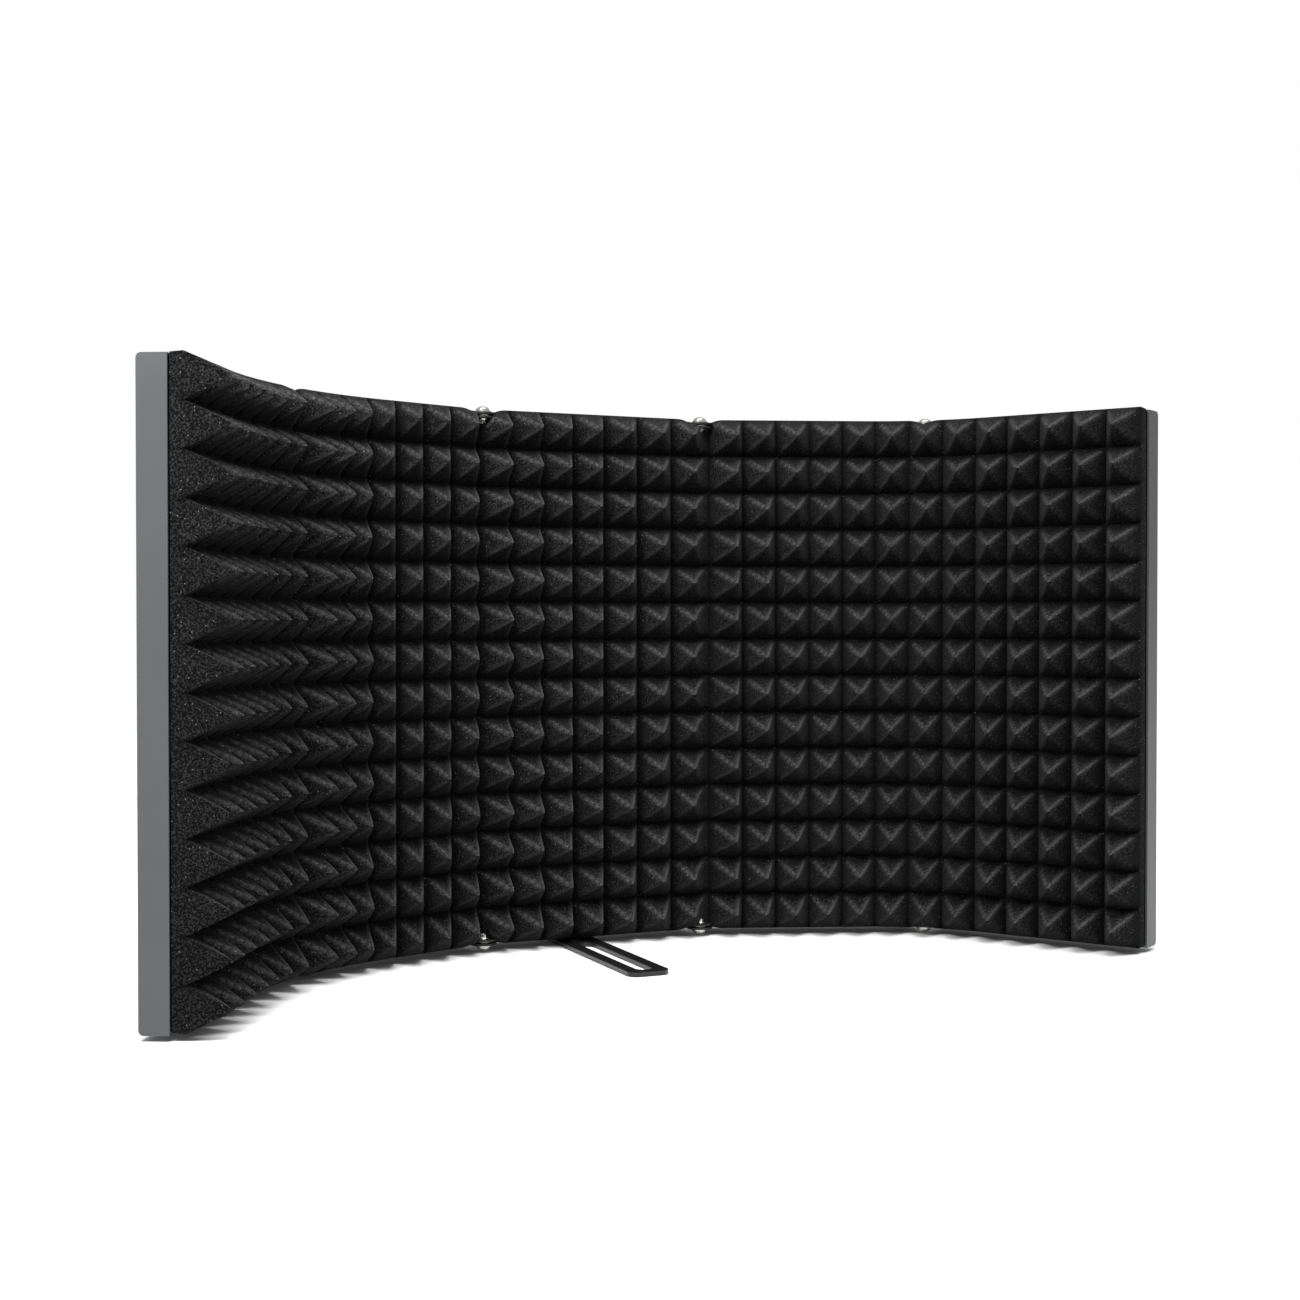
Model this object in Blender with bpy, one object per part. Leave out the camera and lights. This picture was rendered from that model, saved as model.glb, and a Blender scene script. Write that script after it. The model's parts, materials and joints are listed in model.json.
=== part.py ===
"""Five-panel folding microphone isolation shield with a slotted microphone bar.

Five shallow sheet-metal pans stand side by side and fold about vertical pivot screws at the top
and bottom of every seam. The screws stand in front of the pans, in lugs that reach out from under
the flanges. Each pan holds a block of pyramid foam. The middle pan carries the bar.
Panels are numbered from left to right as seen from the foam side, which faces -Y at the middle.
"""

import math

import bmesh
import bpy
from mathutils import Matrix, Vector

MM = 0.001

# Pans
PANEL_COUNT = 5
MIDDLE_PANEL = 3
HINGE_PITCH = 143.0 * MM
END_REACH = 141.5 * MM
PAN_HEIGHT = 320.0 * MM
PAN_FRONT = 11.0 * MM
PAN_BACK = 26.0 * MM
SHEET = 1.2 * MM
SIDE_GAP = 1.5 * MM
WALL_CLEAR = 13.0 * MM
END_CORNER = 2.5 * MM
RELIEF_FROM_AXIS = 20.0 * MM
RELIEF_WIDTH = 3.2 * MM
RELIEF_DEPTH = 1.6 * MM

# Fold angle of each seam at rest, in degrees from flat, seam 1 being the leftmost
REST_TURNS = (43.0, 19.1, 20.3, 38.7)

# Vent slots in the back plates
VENT_COLUMNS = 4
VENT_ROWS = 4
VENT_PITCH_X = 28.0 * MM
VENT_PITCH_Z = 72.0 * MM
VENT_WIDTH = 7.0 * MM
VENT_LENGTH = 52.0 * MM
VENT_END_SEGMENTS = 3

# Pivot stack, measured down from the outer face of the flange
HEAD_GAP = 0.15 * MM
HEAD_RADIUS = 3.95 * MM
HEAD_HEIGHT = 2.4 * MM
HEAD_RIM = 0.35 * MM
RECESS_RADIUS = 1.3 * MM
RECESS_DEPTH = 1.2 * MM
COLLAR_RADIUS = 4.8 * MM
COLLAR_DEPTH = 1.3 * MM
SHANK_RADIUS = 1.95 * MM
PIVOT_HOLE = 2.1 * MM
WASHER_TOP = 2.7 * MM
WASHER_THICKNESS = 0.9 * MM
WASHER_RADIUS = 4.8 * MM
NUT_TOP = 5.0 * MM
NUT_FLANGE = 0.8 * MM
NUT_HEIGHT = 3.2 * MM
NUT_ACROSS_FLATS = 7.0 * MM
NUT_BORE = 2.1 * MM
NUT_SEGMENTS = 12
SCREW_END = 9.8 * MM

# Lugs, the left one of a pair cranked so that it passes under the right one
LUG_RADIUS = 8.0 * MM
LUG_TOP = 1.4 * MM
LUG_PIVOT_TOP = 3.7 * MM
LUG_JOG_START = 8.5 * MM
LUG_JOG_END = 11.5 * MM
LUG_REACH = 30.0 * MM
LUG_FRONT = 12.0 * MM
LUG_BACK = 23.5 * MM
LUG_ARC_STEPS = 14
ROUND_SEGMENTS = 16

# Foam
FOAM_BACK = 23.5 * MM
FOAM_VALLEY = -0.6 * MM
FOAM_TIP = -24.6 * MM
FOAM_ROWS = 14
FOAM_FLANGE_GAP = 0.3 * MM
FOAM_BACK_INSET = 3.1 * MM
FOAM_FRONT_INSET = 4.5 * MM
FOAM_END_GAP = 0.4 * MM
FOAM_COLUMNS = 6
FOAM_LUG_NOTCH = (33.0 * MM, 3.1 * MM)
FOAM_PIVOT_NOTCH = (14.0 * MM, 10.6 * MM)

# Microphone bar
BAR_OFFSET = -11.0 * MM
BAR_WIDTH = 25.0 * MM
BAR_THICKNESS = 2.3 * MM
BAR_TIP = -111.5 * MM
BAR_CORNER = 6.0 * MM
BAR_SLOT_WIDTH = 9.5 * MM
BAR_SLOT_FRONT = -104.5 * MM
BAR_SLOT_BACK = -10.5 * MM
BAR_PAN_GAP = 0.3 * MM
BAR_BEND = 2.0 * MM
BAR_UPRIGHT = 58.0 * MM
BAR_SCREW_HEIGHTS = (20.0 * MM, 44.0 * MM)
BAR_SCREW_RADIUS = 2.4 * MM
BAR_SCREW_HOLE = 2.75 * MM
BAR_SCREW_HEAD_RADIUS = 4.6 * MM
BAR_SCREW_HEAD = 3.0 * MM
BAR_SCREW_TIP = 24.0 * MM

PAN_BOTTOM = HEAD_GAP + HEAD_HEIGHT
PAN_TOP = PAN_BOTTOM + PAN_HEIGHT


def clear_scene():
    """Remove every object of the opening scene."""
    for old in list(bpy.data.objects):
        bpy.data.objects.remove(old, do_unlink=True)


def make_material(name, colour, roughness, metallic):
    """Return one Principled material."""
    made = bpy.data.materials.new(name)
    made.use_nodes = True
    shader = made.node_tree.nodes["Principled BSDF"]
    shader.inputs["Base Color"].default_value = (*colour, 1.0)
    shader.inputs["Roughness"].default_value = roughness
    shader.inputs["Metallic"].default_value = metallic
    return made


def add_object(name, mesh_maker, material, parent=None):
    """Make an object from a function that fills a BMesh, with outward faces."""
    shape = bmesh.new()
    mesh_maker(shape)
    bmesh.ops.remove_doubles(shape, verts=shape.verts, dist=1e-7)
    bmesh.ops.recalc_face_normals(shape, faces=shape.faces)
    mesh = bpy.data.meshes.new(name)
    shape.to_mesh(mesh)
    shape.free()
    made = bpy.data.objects.new(name, mesh)
    bpy.context.scene.collection.objects.link(made)
    if material is not None:
        mesh.materials.append(material)
    if parent is not None:
        made.parent = parent
    return made


def add_cutter(name, mesh_maker, parent):
    """Make a hidden helper for a Boolean."""
    cutter = add_object(name, mesh_maker, None, parent)
    cutter.hide_render = True
    cutter.display_type = "WIRE"
    return cutter


def combine(target, other, operation, crossing=False):
    """Add one live exact Boolean to the target; crossing is for helpers whose blocks overlap."""
    modifier = target.modifiers.new(other.name, "BOOLEAN")
    modifier.operation = operation
    modifier.solver = "EXACT"
    modifier.use_self = crossing
    modifier.object = other


def fill_prism(shape, outline, low, high, axis="Z"):
    """Extrude a closed 2-D outline between two levels of one axis."""
    def place(point, level):
        if axis == "Z":
            return Vector((point[0], point[1], level))
        if axis == "Y":
            return Vector((point[0], level, point[1]))
        return Vector((level, point[0], point[1]))

    ring = [shape.verts.new(place(point, low)) for point in outline]
    face = shape.faces.new(ring)
    pushed = bmesh.ops.extrude_face_region(shape, geom=[face])
    moved = [item for item in pushed["geom"] if isinstance(item, bmesh.types.BMVert)]
    bmesh.ops.translate(shape, verts=moved, vec=place((0.0, 0.0), high - low))


def fill_box(shape, low, high):
    """Add a plain block between two corners."""
    outline = [(low[0], low[1]), (high[0], low[1]), (high[0], high[1]), (low[0], high[1])]
    fill_prism(shape, outline, low[2], high[2])


def fill_lathe(shape, profile, centre, segments=ROUND_SEGMENTS, axis="Z"):
    """Turn an open (radius, height) profile whose ends lie on the axis into a solid."""
    rings = []
    for radius, height in profile:
        if radius == 0.0:
            rings.append([shape.verts.new(Vector((0.0, 0.0, height)))])
            continue
        ring = []
        for step in range(segments):
            angle = 2.0 * math.pi * step / segments
            point = Vector((radius * math.cos(angle), radius * math.sin(angle), height))
            ring.append(shape.verts.new(point))
        rings.append(ring)
    for lower, upper in zip(rings, rings[1:]):
        join_rings(shape, lower, upper, segments)
    verts = [vert for ring in rings for vert in ring]
    if axis == "Y":
        bmesh.ops.rotate(shape, verts=verts, matrix=Matrix.Rotation(-math.pi / 2.0, 3, "X"))
    bmesh.ops.translate(shape, verts=verts, vec=Vector(centre))


def join_rings(shape, lower, upper, segments):
    """Close the band between two rings, either of which may be a single point."""
    for step in range(segments):
        after = (step + 1) % segments
        if len(lower) == 1 and len(upper) == 1:
            return
        if len(lower) == 1:
            shape.faces.new((lower[0], upper[step], upper[after]))
        elif len(upper) == 1:
            shape.faces.new((lower[step], lower[after], upper[0]))
        else:
            shape.faces.new((lower[step], lower[after], upper[after], upper[step]))


def fill_ring(shape, inner, outer, low, high, centre, sides=ROUND_SEGMENTS):
    """Add a ring with a round bore and a round or hexagonal outside."""
    loops = []
    for radius, level in ((outer, low), (outer, high), (inner, high), (inner, low)):
        loop = []
        for step in range(ROUND_SEGMENTS):
            angle = 2.0 * math.pi * step / ROUND_SEGMENTS
            reach = radius
            if radius == outer and sides != ROUND_SEGMENTS:
                local = (angle + math.pi / sides) % (2.0 * math.pi / sides) - math.pi / sides
                reach = radius / math.cos(local)
            spot = Vector((reach * math.cos(angle), reach * math.sin(angle), level))
            loop.append(shape.verts.new(spot + Vector(centre)))
        loops.append(loop)
    for lower, upper in zip(loops, loops[1:] + loops[:1]):
        join_rings(shape, lower, upper, ROUND_SEGMENTS)


def arc(centre, radius, start, stop, steps):
    """Points of an arc, both ends included, angles in degrees."""
    points = []
    for step in range(steps + 1):
        angle = math.radians(start + (stop - start) * step / steps)
        points.append((centre[0] + radius * math.cos(angle), centre[1] + radius * math.sin(angle)))
    return points


def panel_span(panel):
    """Left and right reach of a panel, measured from the seam that leads to the middle."""
    if panel == 1:
        return -END_REACH, 0.0
    if panel == PANEL_COUNT:
        return 0.0, END_REACH
    if panel == MIDDLE_PANEL:
        return -HINGE_PITCH / 2.0, HINGE_PITCH / 2.0
    if panel < MIDDLE_PANEL:
        return -HINGE_PITCH, 0.0
    return 0.0, HINGE_PITCH


def seam_on_left(panel):
    """Whether the left side of the panel is a seam."""
    return panel > 1


def seam_on_right(panel):
    """Whether the right side of the panel is a seam."""
    return panel < PANEL_COUNT


def relief(axis_x, towards):
    """Outline points of the small relief notch in a flange front edge, left to right."""
    middle = axis_x + towards * RELIEF_FROM_AXIS
    left = middle - RELIEF_WIDTH / 2.0
    right = middle + RELIEF_WIDTH / 2.0
    deep = PAN_FRONT + RELIEF_DEPTH
    return [(left, PAN_FRONT), (left, deep), (right, deep), (right, PAN_FRONT)]


def plate_limits(panel):
    """Left and right edge of the back plate and its flanges."""
    left, right = panel_span(panel)
    return (
        left + (SIDE_GAP if seam_on_left(panel) else 0.0),
        right - (SIDE_GAP if seam_on_right(panel) else 0.0),
    )


def flange_outline(panel):
    """Plan outline of a top or bottom flange."""
    left, right = panel_span(panel)
    low, high = plate_limits(panel)
    points = [(low, PAN_BACK), (low, PAN_FRONT)]
    if seam_on_left(panel):
        points += relief(left, 1.0)
    if seam_on_right(panel):
        points += relief(right, -1.0)
    return points + [(high, PAN_FRONT), (high, PAN_BACK)]


def end_strip_outline():
    """Side outline of the plate that closes a free end, its back corners rounded."""
    top = (PAN_BACK - END_CORNER, PAN_TOP - END_CORNER)
    bottom = (PAN_BACK - END_CORNER, PAN_BOTTOM + END_CORNER)
    points = [(PAN_FRONT, PAN_BOTTOM)]
    points += arc(bottom, END_CORNER, -90.0, 0.0, 4)
    points += arc(top, END_CORNER, 0.0, 90.0, 4)
    points += [(PAN_FRONT, PAN_TOP)]
    return points


def corner_outline():
    """Side outline of a pan seen along its length, used to round the free end corners."""
    margin = 5.0 * MM
    points = [(PAN_FRONT - margin, PAN_BOTTOM)]
    bottom = (PAN_BACK - END_CORNER, PAN_BOTTOM + END_CORNER)
    top = (PAN_BACK - END_CORNER, PAN_TOP - END_CORNER)
    points += arc(bottom, END_CORNER, -90.0, 0.0, 4)
    points += arc(top, END_CORNER, 0.0, 90.0, 4)
    points += [(PAN_FRONT - margin, PAN_TOP)]
    return points


def fill_vents(shape, panel):
    """Add the slot cutters of one back plate."""
    low, high = plate_limits(panel)
    middle_x = (low + high) / 2.0
    middle_z = (PAN_BOTTOM + PAN_TOP) / 2.0
    half = (VENT_LENGTH - VENT_WIDTH) / 2.0
    for column in range(VENT_COLUMNS):
        x = middle_x + (column - (VENT_COLUMNS - 1) / 2.0) * VENT_PITCH_X
        for row in range(VENT_ROWS):
            behind_bar = panel == MIDDLE_PANEL and row == 0 and column in (1, 2)
            if behind_bar:
                continue
            z = middle_z + (row - (VENT_ROWS - 1) / 2.0) * VENT_PITCH_Z
            outline = arc((x, z + half), VENT_WIDTH / 2.0, 0.0, 180.0, VENT_END_SEGMENTS)
            outline += arc((x, z - half), VENT_WIDTH / 2.0, 180.0, 360.0, VENT_END_SEGMENTS)
            fill_prism(shape, outline, PAN_BACK - 2.0 * SHEET, PAN_BACK + SHEET, "Y")


def fill_bar_holes(shape, low, high):
    """Add the cutters of the two screw holes behind the bar's upright."""
    for height in BAR_SCREW_HEIGHTS:
        outline = arc((BAR_OFFSET, height), BAR_SCREW_HOLE, 0.0, 360.0, ROUND_SEGMENTS)[:-1]
        fill_prism(shape, outline, low, high, "Y")


def make_pan(panel, parent, material):
    """One sheet-metal pan: back plate, flanges, side walls and, at a free end, an end strip."""
    left, right = panel_span(panel)
    low, high = plate_limits(panel)
    bottom = (low, PAN_BACK - SHEET, PAN_BOTTOM)
    top = (high, PAN_BACK, PAN_TOP)
    pan = add_object(f"pan_{panel}", lambda s: fill_box(s, bottom, top), material, parent)
    outline = flange_outline(panel)
    wall_ends = (PAN_BOTTOM + WALL_CLEAR, PAN_TOP - WALL_CLEAR)

    def flange(low_z, high_z):
        return lambda s: fill_prism(s, outline, low_z, high_z)

    def wall(edge, inward):
        sides = sorted((edge, edge + inward * SHEET))
        first = (sides[0], PAN_FRONT, wall_ends[0])
        return lambda s: fill_box(s, first, (sides[1], PAN_BACK, wall_ends[1]))

    def end_strip(edge, inward):
        sides = sorted((edge, edge + inward * SHEET))
        return lambda s: fill_prism(s, end_strip_outline(), sides[0], sides[1], "X")

    pieces = {
        "top": flange(PAN_TOP - SHEET, PAN_TOP),
        "bottom": flange(PAN_BOTTOM, PAN_BOTTOM + SHEET),
        "left": wall(low, 1.0) if seam_on_left(panel) else end_strip(left, 1.0),
        "right": wall(high, -1.0) if seam_on_right(panel) else end_strip(right, -1.0),
    }
    for side, maker in pieces.items():
        combine(pan, add_cutter(f"add_{panel}_{side}", maker, parent), "UNION")
    if not (seam_on_left(panel) and seam_on_right(panel)):
        span = (left - SHEET, right + SHEET)
        rounding = add_cutter(
            f"keep_{panel}", lambda s: fill_prism(s, corner_outline(), *span, "X"), parent
        )
        combine(pan, rounding, "INTERSECT")
    vents = add_cutter(f"vents_{panel}", lambda s: fill_vents(s, panel), parent)
    combine(pan, vents, "DIFFERENCE")
    if panel == MIDDLE_PANEL:
        span_y = (PAN_BACK - 2.0 * SHEET, PAN_BACK + SHEET)
        holes = add_cutter("holes_bar_pan", lambda s: fill_bar_holes(s, *span_y), parent)
        combine(pan, holes, "DIFFERENCE")
    return pan


def foam_columns(panel):
    """Valley positions across the foam and the tip position of each cell."""
    left, right = panel_span(panel)
    start = left + (FOAM_FRONT_INSET if seam_on_left(panel) else SHEET + FOAM_END_GAP)
    stop = right - (FOAM_FRONT_INSET if seam_on_right(panel) else SHEET + FOAM_END_GAP)
    halves = int(not seam_on_left(panel)) + int(not seam_on_right(panel))
    pitch = (stop - start) / (FOAM_COLUMNS + halves / 2.0)
    edges = [start]
    tips = []
    if not seam_on_left(panel):
        tips.append(start)
        edges.append(start + pitch / 2.0)
    for _ in range(FOAM_COLUMNS):
        tips.append(edges[-1] + pitch / 2.0)
        edges.append(edges[-1] + pitch)
    if not seam_on_right(panel):
        tips.append(stop)
        edges.append(stop)
    return edges, tips


def fill_foam(shape, panel):
    """Fill one foam block: flat back, sloping seam sides and a front of square pyramids."""
    edges, tips = foam_columns(panel)
    low = PAN_BOTTOM + SHEET + FOAM_FLANGE_GAP
    high = PAN_TOP - SHEET - FOAM_FLANGE_GAP
    pitch = (high - low) / FOAM_ROWS
    levels = [low + pitch * row for row in range(FOAM_ROWS + 1)]
    lattice = [[shape.verts.new((x, FOAM_VALLEY, z)) for x in edges] for z in levels]
    left_peaks = [None] * FOAM_ROWS
    right_peaks = [None] * FOAM_ROWS
    for row in range(FOAM_ROWS):
        for column, tip_x in enumerate(tips):
            middle = (levels[row] + levels[row + 1]) / 2.0
            tip = shape.verts.new((tip_x, FOAM_TIP, middle))
            ring = [lattice[row][column], lattice[row][column + 1]]
            ring += [lattice[row + 1][column + 1], lattice[row + 1][column]]
            cut_left = tip_x == edges[column]
            cut_right = tip_x == edges[column + 1]
            for side in range(4):
                if (side == 3 and cut_left) or (side == 1 and cut_right):
                    continue
                shape.faces.new((ring[side], ring[(side + 1) % 4], tip))
            if cut_left:
                left_peaks[row] = tip
            if cut_right:
                right_peaks[row] = tip
    fill_foam_sides(shape, panel, lattice, (left_peaks, right_peaks))


def fill_foam_sides(shape, panel, lattice, peaks):
    """Close the foam block behind its pyramids."""
    left, right = panel_span(panel)
    rows = len(lattice)
    back_left = left + (FOAM_BACK_INSET if seam_on_left(panel) else SHEET + FOAM_END_GAP)
    back_right = right - (FOAM_BACK_INSET if seam_on_right(panel) else SHEET + FOAM_END_GAP)
    low = lattice[0][0].co.z
    high = lattice[-1][0].co.z
    corners = {}
    for name, x, z in (
        ("left_low", back_left, low),
        ("right_low", back_right, low),
        ("left_high", back_left, high),
        ("right_high", back_right, high),
    ):
        corners[name] = shape.verts.new((x, FOAM_BACK, z))
    order = ("left_low", "left_high", "right_high", "right_low")
    shape.faces.new([corners[name] for name in order])
    bottom = list(lattice[0]) + [corners["right_low"], corners["left_low"]]
    shape.faces.new(bottom)
    top = list(lattice[-1]) + [corners["right_high"], corners["left_high"]]
    shape.faces.new(top)
    for column, name, line in ((0, "left", peaks[0]), (-1, "right", peaks[1])):
        side = [lattice[0][column]]
        for row in range(rows - 1):
            if line[row] is not None:
                side.append(line[row])
            side.append(lattice[row + 1][column])
        side += [corners[f"{name}_high"], corners[f"{name}_low"]]
        shape.faces.new(side)


def fill_foam_notches(shape, panel):
    """Add the cutters that keep the foam clear of the lugs and pivot stacks."""
    left, right = panel_span(panel)
    reach = 20.0 * MM
    notches = []
    if seam_on_left(panel):
        notches += [(left, 1.0, FOAM_PIVOT_NOTCH), (left, 1.0, FOAM_LUG_NOTCH)]
    if seam_on_right(panel):
        notches += [(right, -1.0, FOAM_PIVOT_NOTCH), (right, -1.0, FOAM_LUG_NOTCH)]
    for axis_x, inward, (length, depth) in notches:
        sides = sorted((axis_x, axis_x + inward * length))
        front = FOAM_TIP - reach if length == FOAM_PIVOT_NOTCH[0] else PAN_FRONT
        for low, high in (
            (PAN_BOTTOM - reach, PAN_BOTTOM + depth),
            (PAN_TOP - depth, PAN_TOP + reach),
        ):
            fill_box(shape, (sides[0], front, low), (sides[1], PAN_BACK, high))


def make_foam(panel, parent, material):
    """One foam block with its corner notches."""
    foam = add_object(f"foam_{panel}", lambda s: fill_foam(s, panel), material, parent)
    notches = add_cutter(f"notch_{panel}", lambda s: fill_foam_notches(s, panel), parent)
    combine(foam, notches, "DIFFERENCE", crossing=True)
    return foam


def flip(level, at_top):
    """Height of a depth measured inward from the outer face of a flange."""
    return PAN_TOP - level if at_top else PAN_BOTTOM + level


def lug_plan(axis_x, towards):
    """Plan outline of a lug: a round eye on the pivot and a foot that lies under the flange."""
    neck = math.degrees(math.acos(SIDE_GAP / LUG_RADIUS))
    eye = arc((0.0, 0.0), LUG_RADIUS, 0.0, neck - 360.0, LUG_ARC_STEPS)
    foot = [(SIDE_GAP, LUG_BACK), (LUG_REACH, LUG_BACK), (LUG_REACH, LUG_FRONT)]
    outline = eye + foot + [(LUG_RADIUS, LUG_FRONT)]
    return [(axis_x + towards * x, y) for x, y in outline]


def make_lug(seam, on_left, at_top, parent, axis_x, material):
    """One lug of a hinge: the left panel's is cranked below the right panel's."""
    name = f"{seam}_{'top' if at_top else 'bottom'}_{'left' if on_left else 'right'}"
    towards = -1.0 if on_left else 1.0
    sunk = LUG_PIVOT_TOP if on_left else LUG_TOP
    upper = [(-LUG_RADIUS, sunk), (LUG_BACK, LUG_TOP)]
    if on_left:
        upper[1:1] = [(LUG_JOG_START, sunk), (LUG_JOG_END, LUG_TOP)]
    lower = [(y, depth + SHEET) for y, depth in reversed(upper)]
    side = [(y, flip(depth, at_top)) for y, depth in upper + lower]
    ends = sorted((axis_x + towards * LUG_REACH, axis_x - towards * LUG_RADIUS))
    lug = add_object(f"lug_{name}", lambda s: fill_prism(s, side, *ends, "X"), material, parent)
    levels = sorted((flip(-SHEET, at_top), flip(NUT_TOP + SHEET, at_top)))
    plan = lug_plan(axis_x, towards)
    keep = add_cutter(f"keep_{name}", lambda s: fill_prism(s, plan, *levels), parent)
    combine(lug, keep, "INTERSECT")
    hole = arc((axis_x, 0.0), PIVOT_HOLE, 0.0, 360.0, ROUND_SEGMENTS)[:-1]
    drill = add_cutter(f"drill_{name}", lambda s: fill_prism(s, hole, *levels), parent)
    combine(lug, drill, "DIFFERENCE")
    return lug


def dome_profile():
    """Half outline of the domed screw and its collar, as (radius, depth) from the top down."""
    top = -(HEAD_GAP + HEAD_HEIGHT)
    rim = -(HEAD_GAP + HEAD_RIM)
    profile = [(0.0, top + RECESS_DEPTH), (RECESS_RADIUS, top + RECESS_DEPTH)]
    rise = HEAD_HEIGHT - HEAD_RIM
    for step in range(5):
        angle = math.radians(70.0 - 70.0 * step / 4)
        profile.append((HEAD_RADIUS * math.cos(angle), rim - rise * math.sin(angle)))
    profile += [(HEAD_RADIUS, -HEAD_GAP), (COLLAR_RADIUS, -HEAD_GAP)]
    profile += [(COLLAR_RADIUS, COLLAR_DEPTH), (SHANK_RADIUS, COLLAR_DEPTH)]
    chamfer = 0.5 * MM
    profile += [(SHANK_RADIUS, SCREW_END - chamfer), (SHANK_RADIUS - chamfer, SCREW_END)]
    profile += [(0.0, SCREW_END)]
    return profile


def make_pivot(seam, at_top, parent, axis_x, materials):
    """Screw, spacer washer and flanged nut of one pivot."""
    end = "top" if at_top else "bottom"
    origin = (axis_x, 0.0, 0.0)
    profile = [(radius, flip(depth, at_top)) for radius, depth in dome_profile()]
    add_object(
        f"screw_{seam}_{end}", lambda s: fill_lathe(s, profile, origin), materials["screw"], parent
    )
    washer = sorted((flip(WASHER_TOP, at_top), flip(WASHER_TOP + WASHER_THICKNESS, at_top)))
    add_object(
        f"washer_{seam}_{end}",
        lambda s: fill_ring(s, PIVOT_HOLE, WASHER_RADIUS, *washer, origin),
        materials["screw"],
        parent,
    )
    make_nut(seam, at_top, parent, origin, materials["screw"])


def make_nut(seam, at_top, parent, origin, material):
    """A hexagonal nut with a round washer face."""
    end = "top" if at_top else "bottom"
    face = flip(NUT_TOP, at_top)
    step = flip(NUT_TOP + NUT_FLANGE, at_top)
    far = flip(NUT_TOP + NUT_HEIGHT, at_top)
    hexagon = NUT_ACROSS_FLATS / 2.0

    def fill(shape):
        rings = []
        for radius, level, sides in (
            (NUT_BORE, face, 0),
            (WASHER_RADIUS, face, 0),
            (WASHER_RADIUS, step, 0),
            (hexagon, step, 6),
            (hexagon, far, 6),
            (NUT_BORE, far, 0),
        ):
            ring = []
            for index in range(NUT_SEGMENTS):
                angle = 2.0 * math.pi * index / NUT_SEGMENTS
                reach = radius
                if sides:
                    wedge = 2.0 * math.pi / sides
                    reach = radius / math.cos((angle + wedge / 2.0) % wedge - wedge / 2.0)
                spot = Vector((reach * math.cos(angle), reach * math.sin(angle), level))
                ring.append(shape.verts.new(spot + Vector(origin)))
            rings.append(ring)
        for lower, upper in zip(rings, rings[1:] + rings[:1]):
            join_rings(shape, lower, upper, NUT_SEGMENTS)

    return add_object(f"nut_{seam}_{end}", fill, material, parent)


def bar_side_outline():
    """Side outline of the bar: flat blade, tight bend and upright."""
    back = PAN_BACK + BAR_PAN_GAP
    outer = back + BAR_THICKNESS
    points = [(BAR_TIP, 0.0)]
    points += arc((outer - BAR_BEND, BAR_BEND), BAR_BEND, -90.0, 0.0, 5)
    points += [(outer, BAR_UPRIGHT), (back, BAR_UPRIGHT), (back, BAR_THICKNESS)]
    points += [(BAR_TIP, BAR_THICKNESS)]
    return points


def make_bar(parent, material):
    """The slotted microphone bar, bent up behind the middle pan."""
    half = BAR_WIDTH / 2.0
    sides = (BAR_OFFSET - half, BAR_OFFSET + half)
    bar = add_object(
        "mic_bar", lambda s: fill_prism(s, bar_side_outline(), *sides, "X"), material, parent
    )
    back = PAN_BACK + 10.0 * MM
    front = BAR_TIP + BAR_CORNER
    plan = arc((sides[0] + BAR_CORNER, front), BAR_CORNER, 180.0, 270.0, 6)
    plan += arc((sides[1] - BAR_CORNER, front), BAR_CORNER, 270.0, 360.0, 6)
    plan += [(sides[1], back), (sides[0], back)]
    levels = (-BAR_THICKNESS, BAR_UPRIGHT + BAR_THICKNESS)
    keep = add_cutter("keep_bar", lambda s: fill_prism(s, plan, *levels), parent)
    combine(bar, keep, "INTERSECT")
    radius = BAR_SLOT_WIDTH / 2.0
    slot = arc((BAR_OFFSET, BAR_SLOT_BACK - radius), radius, 0.0, 180.0, 8)
    slot += arc((BAR_OFFSET, BAR_SLOT_FRONT + radius), radius, 180.0, 360.0, 8)
    depth = (-BAR_THICKNESS, 2.0 * BAR_THICKNESS)
    cut = add_cutter("slot_bar", lambda s: fill_prism(s, slot, *depth), parent)
    combine(bar, cut, "DIFFERENCE")
    rear = (PAN_BACK - BAR_PAN_GAP, PAN_BACK + 2.0 * BAR_THICKNESS)
    drill = add_cutter("drill_bar", lambda s: fill_bar_holes(s, *rear), parent)
    combine(bar, drill, "DIFFERENCE")
    return bar


def make_bar_screw(index, height, parent, material):
    """A pan-head screw that fixes the bar's upright to the middle pan."""
    face = PAN_BACK + BAR_PAN_GAP + BAR_THICKNESS + HEAD_GAP
    top = face + BAR_SCREW_HEAD
    profile = [(0.0, BAR_SCREW_TIP), (BAR_SCREW_RADIUS, BAR_SCREW_TIP)]
    profile += [(BAR_SCREW_RADIUS, face), (BAR_SCREW_HEAD_RADIUS, face)]
    profile += [(BAR_SCREW_HEAD_RADIUS, top - 1.2 * MM)]
    profile += [(BAR_SCREW_HEAD_RADIUS - 0.5 * MM, top - 0.4 * MM)]
    profile += [(BAR_SCREW_HEAD_RADIUS - 1.3 * MM, top), (1.6 * MM, top)]
    profile += [(1.6 * MM, top - 1.5 * MM), (0.0, top - 1.5 * MM)]
    spot = (BAR_OFFSET, 0.0, height)
    return add_object(
        f"bar_screw_{index}", lambda s: fill_lathe(s, profile, spot, axis="Y"), material, parent
    )


def make_frame(name, spot, turn):
    """An empty on a seam axis that carries one moving panel."""
    frame = bpy.data.objects.new(name, None)
    bpy.context.scene.collection.objects.link(frame)
    frame.empty_display_size = 0.02
    frame.location = spot
    frame.rotation_euler = (0.0, 0.0, turn)
    return frame


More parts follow.
